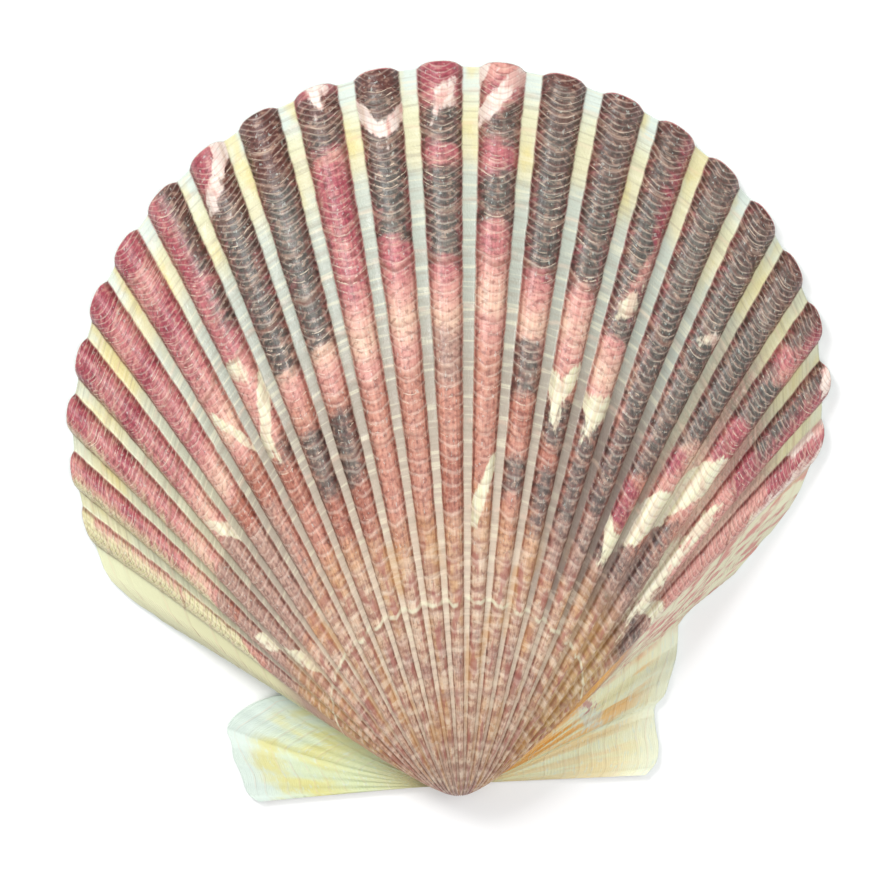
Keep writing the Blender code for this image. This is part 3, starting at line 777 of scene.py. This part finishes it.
# Growth lines: fine pale edges, a brown and a pale line at each check, and one white line
line_age = plus(age_here, times(grain(2.0, 14.0, 2.0, 2.0), 0.010))
fine_age = stretched(growth_here, kept("slant"), line_age)
fine = calc("FRACT", times(calc("POWER", fine_age, LINE_CROWDING), LINES_TO_MARGIN))
on_rib = times(calc("SUBTRACT", 1.0, times(in_furrow, 0.85)), calc("SUBTRACT", 1.0, on_ear))
fine_line = times(fade(apart(fine, 0.5), 0.28, 0.46),
                  fade(grain(1.1, 44.0, 3.0, 4.0), -0.22, 0.12), on_rib)
colour = mix(times(fine_line, 0.42), colour, mix(0.55, colour, pigment(246, 226, 208)))
shade_under = times(fade(fine, 0.50, 0.12), fade(fine, 0.04, 0.12), on_rib, 0.28)
colour = mix(shade_under, colour, pigment(120, 62, 56))
off_ear = stretched(on_ear, -0.7, 1.0)
off_furrow = stretched(in_furrow, -0.7, 1.0)
broken = fade(grain(2.0, 30.0, 2.0, 8.0), -0.2, 0.1)
for check in CHECKS:
    below = fade(apart(line_age, check - CHECK_BAND), CHECK_BAND, 0.001)
    strength = 0.45 if check == BROWN_CHECK else 0.2
    colour = mix(times(below, off_ear, off_furrow, strength), colour, BROWN)
    at_check = times(fade(apart(line_age, check), 0.0040, 0.0008), broken)
    strength, shade = (0.7, CREAM) if check == WHITE_CHECK else (0.25, PEACH)
    colour = mix(times(at_check, strength), colour, shade)
bold = stretched(fade(grain(0.3, 22.0, 2.0, 90.0), -0.10, 0.16), 0.6, 0.4)
ledge = times(kept("ridge"), fade(grain(1.2, 30.0, 3.0, 44.0), -0.22, 0.10), bold)
colour = mix(ledge, colour, PALE_LINE)

# The rim is bare and clear; inside the shell is white, with a tint toward the beak and along the margin
inside = mix(fade(growth_here, 0.75, 0.25), pigment(230, 224, 214), pigment(214, 184, 166))
inside = mix(times(fade(growth_here, 0.88, 0.96), 0.35), inside, MAUVE)
outside_here = kept("outside")
colour = mix(fade(outside_here, 0.75, 0.50), colour, FROST)
colour = mix(fade(outside_here, 0.45, 0.20), colour, inside)

grit = times(grain(26.0, 260.0, 2.0, 31.0), 0.5)
line_edges = times(calc("POWER", fine, 2.0), calc("SUBTRACT", 1.0, in_furrow))
feel = add("ShaderNodeBump", {"Height": plus(line_edges, grit), "Strength": 0.6, "Distance": BUMP_DEPTH * MM})
feed(tree.nodes["Principled BSDF"], {"Base Color": colour, "Normal": feel.outputs[0], "IOR": 1.5,
                                     "Roughness": stretched(grain(12.0, 90.0, 2.0, 21.0), 0.5, 0.42),
                                     "Coat Weight": 0.12, "Coat Roughness": 0.3})

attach(valve, "root")
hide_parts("valve")


# The growth lines
# Thin calcite ledges that the mantle edge left on the crest of each rib, about half a millimetre
# apart, lifted a little and broken here and there. They grew with the wall and are one with it.

LINE_HALF_SPAN = 0.39
FULL_HEIGHT_SPAN = 0.28
LEFT_OF_LINE = 0.08
OLDEST_LINE = 3
NEWEST_LINE = 60
LINE_SHIFT = 0.34
SHORTEST_LINE = 0.85
CROWDED_FROM = 0.97
MARGIN_CROWDING = 0.35
line_sizes = {"Line half span": LINE_HALF_SPAN, "Line width": 0.30, "Line height": 0.085 * MM,
              "Line sunk": 0.02 * MM, "Line bow": LINE_BOW}
tree, size = shape_tree("lines_on_ribs", line_sizes)

# Laid out flat first: across is the rib place, up is the number of the line
spots = add("GeometryNodeMeshGrid", {"Size X": RIBS - 1.0, "Size Y": float(NEWEST_LINE - OLDEST_LINE),
                                     "Vertices X": RIBS, "Vertices Y": NEWEST_LINE - OLDEST_LINE + 1})
spots = add("GeometryNodeTransform", {"Geometry": spots.outputs[0],
                                      "Translation": (RIBS / 2, (NEWEST_LINE + OLDEST_LINE) / 2, 0.0)})
shift = add("FunctionNodeRandomValue", {"Min": -LINE_SHIFT, "Max": LINE_SHIFT, "Seed": 6}, data_type="FLOAT")
spots = add("GeometryNodeSetPosition", {"Geometry": spots.outputs[0], "Offset": pair(0.0, shift.outputs[1])})
strand = add("GeometryNodeMeshCylinder", {"Vertices": 3, "Side Segments": 14, "Radius": 0.5, "Depth": 2.0})
strand = add("GeometryNodeTransform", {"Geometry": strand.outputs[0],
                                       "Rotation": (math.radians(90), 0.0, math.radians(90))})
length = add("FunctionNodeRandomValue", {"Min": SHORTEST_LINE, "Max": 1.0, "Seed": 5}, data_type="FLOAT")
stretch = add("ShaderNodeCombineXYZ", {0: times(size["Line half span"], length.outputs[1]),
                                       1: size["Line width"], 2: 1.0})
laid = add("GeometryNodeInstanceOnPoints", {"Points": spots.outputs[0], "Instance": strand.outputs[0],
                                            "Scale": stretch.outputs[0]})
laid = add("GeometryNodeRealizeInstances", {"Geometry": laid.outputs[0]})

# Then put on the outside of the valve, which keeps the same two numbers at every point
skin_only = add("GeometryNodeObjectInfo", {"Object": valve}, transform_space="ORIGINAL")
not_outside = add("FunctionNodeCompare", {"A": noted("outside"), "B": 0.99}, operation="LESS_THAN")
skin_only = add("GeometryNodeDeleteGeometry", {"Geometry": skin_only.outputs["Geometry"],
                                               "Selection": not_outside.outputs[0]}, domain="POINT")
map_of_wall = pair(calc("DIVIDE", noted("rib_place"), float(RIBS)), noted("growth"))


def taken(value, where, kind="FLOAT"):
    """The wall's own value at this spot on its map."""
    made = add("GeometryNodeSampleUVSurface", {"Mesh": skin_only.outputs[0], "Source UV Map": map_of_wall,
                                               "Sample UV": where}, data_type=kind)
    tree.links.new(value, next(i for i in made.inputs if i.enabled and i.name == "Value"))
    return made.outputs["Value"]


spot = add("ShaderNodeSeparateXYZ", {0: add("GeometryNodeInputPosition").outputs[0]}).outputs
rib_on_map = calc("DIVIDE", spot[0], float(RIBS))
off_crest = apart(calc("FRACT", spot[0]), 0.5)
stage = calc("POWER", calc("DIVIDE", spot[1], LINES_TO_MARGIN), 1.0 / LINE_CROWDING)
stage = stretched(times(off_crest, off_crest, size["Line bow"]), calc("POWER", stage, BOW_GROWTH), stage)
stage = calc("DIVIDE", stage, plus(taken(noted("slant"), pair(rib_on_map, 0.5)), 1.0))
# Near the margin they close up, so that none runs off the edge
stage = calc("MINIMUM", stage, stretched(stage, MARGIN_CROWDING, CROWDED_FROM * (1 - MARGIN_CROWDING)))
spot_on_map = pair(rib_on_map, stage)

# Each line thins out toward both ends and is broken here and there
ends = add("ShaderNodeMapRange", {0: off_crest, 1: LINE_HALF_SPAN, 2: FULL_HEIGHT_SPAN, 3: LEFT_OF_LINE},
           interpolation_type="SMOOTHSTEP").outputs[0]
breaks = add("ShaderNodeTexNoise", {"Vector": pair(times(spot[0], 1.5), times(spot[1], 0.9))}).outputs[0]
breaks = add("ShaderNodeMapRange", {0: breaks, 1: 0.36, 2: 0.58, 3: LEFT_OF_LINE},
             interpolation_type="SMOOTHSTEP").outputs[0]
lift = times(plus(spot[2], 0.25), size["Line height"], times(ends, times(breaks, stage)))
lift = calc("SUBTRACT", lift, size["Line sunk"])
crest = add("ShaderNodeMapRange", {0: lift, 1: -0.02 * MM, 2: 0.03 * MM}).outputs[0]
kept_values = {name: taken(noted(name), spot_on_map)
               for name in ("rib_place", "growth", "rib_delay", "slant", "outside", *MARKS)}
for name, value in {**kept_values, "ridge": crest}.items():
    laid = add("GeometryNodeStoreNamedAttribute", {"Geometry": laid.outputs[0], "Name": name, "Value": value},
               data_type="FLOAT")
on_wall = summed(taken(add("GeometryNodeInputPosition").outputs[0], spot_on_map, "FLOAT_VECTOR"),
                 scaled(taken(add("GeometryNodeInputNormal").outputs[0], spot_on_map, "FLOAT_VECTOR"), lift))
laid = add("GeometryNodeSetPosition", {"Geometry": laid.outputs[0], "Position": on_wall})
growth_lines = grown("growth_lines", bpy.data.meshes.new("no_lines_yet"), laid, line_sizes)
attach(growth_lines, "root")
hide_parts("valve")


# The hinge plate
# The thick straight bar under both ears, where the two valves met. In its middle a three-sided pit
# held the dark elastic pad that pushed them open. It is the same calcite, laid down from inside.

BAR_ENDS = (-16.4, 15.7)
BAR_BACK = 0.12
BAR_FRONT = 1.75
BAR_HEIGHT = 0.5
PLATE_BACK = 0.8
PLATE_FRONT = 3.4
PLATE_HALF_WIDTHS = (1.30, 1.95)
PLATE_HEIGHT = 1.5
PIT_POINT = 0.6
PIT_FRONT = 3.05
PIT_HALF_WIDTH = 1.15
PIT_DEPTH = 0.9
OFF_TABLE = 0.02
THROUGH_TABLE = -1.0
WORN_EDGE = 0.08


def block(name, footprint, low, high):
    """A solid with this footprint, in millimetres from the beak."""
    count = len(footprint)
    corners = [(Vector((x, y, z)) + BEAK_PLACE) * MM for z in (low, high) for x, y in footprint]
    sides = [(i, (i + 1) % count, count + (i + 1) % count, count + i) for i in range(count)]
    mesh = bpy.data.meshes.new(name)
    mesh.from_pydata(corners, [], [tuple(range(count))[::-1], tuple(range(count, 2 * count)), *sides])
    return placed(name, mesh)


left_end, right_end = BAR_ENDS
bar = block("hinge_bar", ((left_end, BAR_BACK), (right_end, BAR_BACK), (right_end, BAR_FRONT),
                          (left_end, BAR_FRONT)), OFF_TABLE, BAR_HEIGHT)
back, front = PLATE_HALF_WIDTHS
plate = block("pit_plate", ((-back, PLATE_BACK), (back, PLATE_BACK), (front, PLATE_FRONT),
                            (-front, PLATE_FRONT)), OFF_TABLE, PLATE_HEIGHT)
pit = block("pit", ((0.0, PIT_POINT), (PIT_HALF_WIDTH, PIT_FRONT), (-PIT_HALF_WIDTH, PIT_FRONT)),
            THROUGH_TABLE, PIT_DEPTH)
for other, how in ((plate, "UNION"), (pit, "DIFFERENCE")):
    joint = bar.modifiers.new(how.lower(), "BOOLEAN")
    joint.object = other
    joint.operation = how
worn = bar.modifiers.new("worn_edges", "BEVEL")
worn.width = WORN_EDGE * MM
worn.segments = 2
bpy.context.view_layer.update()
hinge_mesh = bpy.data.meshes.new_from_object(bar.evaluated_get(bpy.context.evaluated_depsgraph_get()))
for shape in (bar, plate, pit):
    bpy.data.objects.remove(shape)

bare_shell = bpy.data.materials.new("bare_shell")
bare_shell.use_nodes = True
tree = bare_shell.node_tree
here = add("ShaderNodeTexCoord").outputs["Object"]
layers = add("ShaderNodeTexNoise", {"Vector": here, "Scale": 900.0, "Detail": 3.0}).outputs[0]
feed(tree.nodes["Principled BSDF"], {
    "Base Color": ramp(layers, ((0.3, pigment(214, 196, 176)), (0.7, pigment(240, 236, 226)))),
    "Roughness": stretched(layers, 0.3, 0.25)})
hinge_mesh.materials.append(bare_shell)
hinge_mesh.name = "hinge_plate"
hinge = placed("hinge_plate", hinge_mesh)
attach(hinge, "root")
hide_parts("valve")


# The floor, the light and the camera
floor_mesh = bpy.data.meshes.new("floor")
floor_mesh.from_pydata([(-2, -2, 0), (2, -2, 0), (2, 2, 0), (-2, 2, 0)], [], [(0, 1, 2, 3)])
floor = placed("floor", floor_mesh)
pale_floor = bpy.data.materials.new("pale_floor")
pale_floor.use_nodes = True
feed(pale_floor.node_tree.nodes["Principled BSDF"], {"Base Color": (0.9, 0.9, 0.9, 1), "Roughness": 0.9})
floor_mesh.materials.append(pale_floor)

VIEW_HEIGHT = 0.60
VIEW_WIDTH = 0.07525
VIEW_MIDDLE = Vector((0.25, 30.03, 0.0))
VIEW_TURN = -4.0
SHARP_HEIGHT = 0.004
FILM_WIDTH = 36.0
camera = placed("camera", bpy.data.cameras.new("camera"))
middle_place = (BEAK_PLACE + VIEW_MIDDLE) * MM
camera.location = (middle_place.x, middle_place.y, VIEW_HEIGHT)
camera.rotation_euler = Euler((0.0, 0.0, math.radians(VIEW_TURN)))
camera.data.sensor_width = FILM_WIDTH
camera.data.lens = FILM_WIDTH * (VIEW_HEIGHT - SHARP_HEIGHT) / VIEW_WIDTH
camera.data.clip_start = 0.01
camera.data.clip_end = 10.0
bpy.context.scene.camera = camera
bpy.context.scene.view_settings.view_transform = "Standard"

for name, place_of_lamp, breadth, power in (("window", (-0.25, 0.35, 0.45), 0.25, 2.6),
                                            ("ceiling", (0.2, -0.1, 0.6), 0.6, 2.2)):
    lamp = placed(name, bpy.data.lights.new(name, "AREA"))
    lamp.data.size = breadth
    lamp.data.energy = power
    lamp.location = place_of_lamp
    lamp.rotation_euler = (-Vector(place_of_lamp)).to_track_quat("-Z", "Y").to_euler()
room = bpy.data.worlds.new("room")
bpy.context.scene.world = room
room.use_nodes = True
feed(room.node_tree.nodes["Background"], {"Color": (1, 1, 1, 1), "Strength": 0.55})
